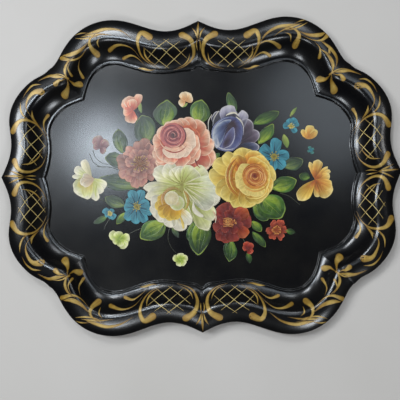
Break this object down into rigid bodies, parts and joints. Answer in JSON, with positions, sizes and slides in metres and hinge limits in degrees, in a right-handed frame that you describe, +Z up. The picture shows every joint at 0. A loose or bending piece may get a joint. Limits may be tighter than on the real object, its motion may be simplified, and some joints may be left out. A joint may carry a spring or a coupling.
{
  "type": "serving tray",
  "caption": "Lacquered steel serving tray with a dished, lobed rim, a rolled edge over wire, a flower bouquet painted in the well and gold scrollwork on the rim.",
  "frame": {"origin": "middle of the flat underside of the well, at the bottom of the tray", "axes": "+X along the long side, +Y along the short side towards the top of the painting, +Z up out of the well"},
  "size_m": [0.66, 0.5248, 0.028],
  "materials": {
    "enamel": "black oil lacquer, glossy, lightly worn",
    "wire": "drawn steel, dull",
    "paint_gold": "gold paint strokes under varnish",
    "paint_flowers": "oil paint strokes under varnish",
    "paint_leaves": "oil paint strokes under varnish"
  },
  "bodies": {
    "root": {"tray_pan": "enamel", "rim_wire": "wire"}
  },
  "joints": []
}
